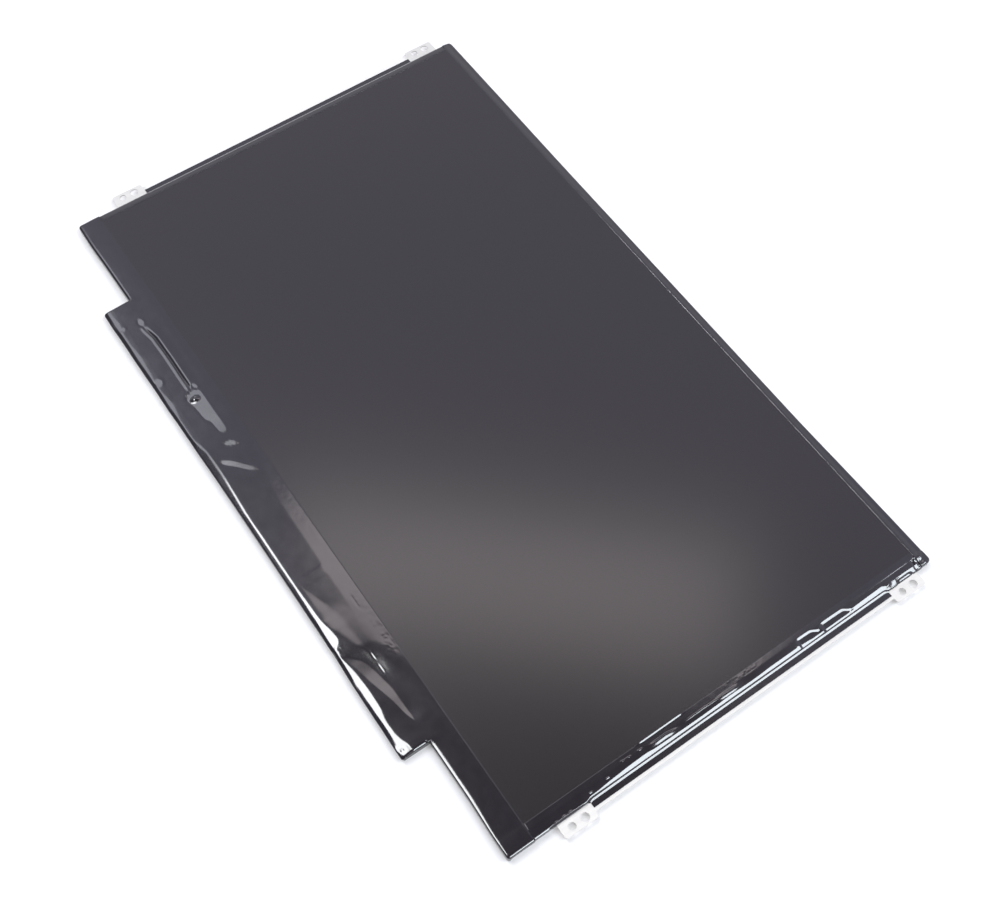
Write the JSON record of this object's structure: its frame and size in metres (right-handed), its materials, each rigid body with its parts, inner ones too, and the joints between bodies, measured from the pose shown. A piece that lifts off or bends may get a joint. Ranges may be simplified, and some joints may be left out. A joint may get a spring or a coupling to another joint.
{
  "type": "laptop screen panel",
  "caption": "Slim liquid-crystal laptop screen module with taped edges, side mounting brackets and a driver board strip along its lower edge.",
  "frame": {"origin": "middle of the rear plate's back face, on the surface that the panel lies on", "axes": "+X to the right along the long side, +Y from the board strip to the far side, +Z out of the screen"},
  "size_m": [0.2788, 0.1677, 0.0036],
  "materials": {
    "plate_metal": "brushed, plain",
    "frame_plastic": "fine moulded",
    "white_film": "glossy white",
    "guide_acrylic": "clear, dotted back",
    "diffuser_film": "milky matte",
    "prism_film": "fine ribbed",
    "flex_film": "amber polyimide",
    "diode_resin": "yellow window in white body",
    "black_tape": "glossy adhesive tape",
    "bond_foam": "matte black",
    "cell_glass": "ground edge",
    "polariser_film": "anti-glare",
    "chip_resin": "moulded epoxy",
    "board_mask": "green solder mask",
    "ferrite": "pressed ferrite",
    "capacitor_body": "fired",
    "socket_resin": "ivory moulded",
    "shell_steel": "tin plated",
    "contact_metal": "gold flashed",
    "bracket_steel": "bright plated",
    "cover_film": "black insulating film"
  },
  "bodies": {
    "root": {"rear_plate": "plate_metal", "mould_frame": "frame_plastic", "reflector_sheet": "white_film", "light_guide_plate": "guide_acrylic", "lower_diffuser": "diffuser_film", "lower_prism_sheet": "prism_film", "upper_prism_sheet": "prism_film", "upper_diffuser": "diffuser_film", "light_bar_flex": "flex_film", "light_bar_leds": "diode_resin", "cell_tape": "bond_foam", "rear_polariser": "polariser_film", "array_glass": "cell_glass", "filter_glass": "cell_glass", "front_polariser": "polariser_film", "driver_chips": "chip_resin", "board_flexes": "flex_film", "driver_board": "board_mask", "timing_controller": "chip_resin", "light_driver_chip": "chip_resin", "memory_chip": "chip_resin", "power_inductors": "ferrite", "board_capacitors": "capacitor_body", "light_bar_connector": "socket_resin", "signal_connector": "socket_resin", "connector_shell": "shell_steel", "connector_contacts": "contact_metal", "board_cover_film": "cover_film", "left_bracket": "bracket_steel", "right_bracket": "bracket_steel", "left_tape": "black_tape", "right_tape": "black_tape", "far_tape": "black_tape", "board_tape": "black_tape"}
  },
  "joints": []
}
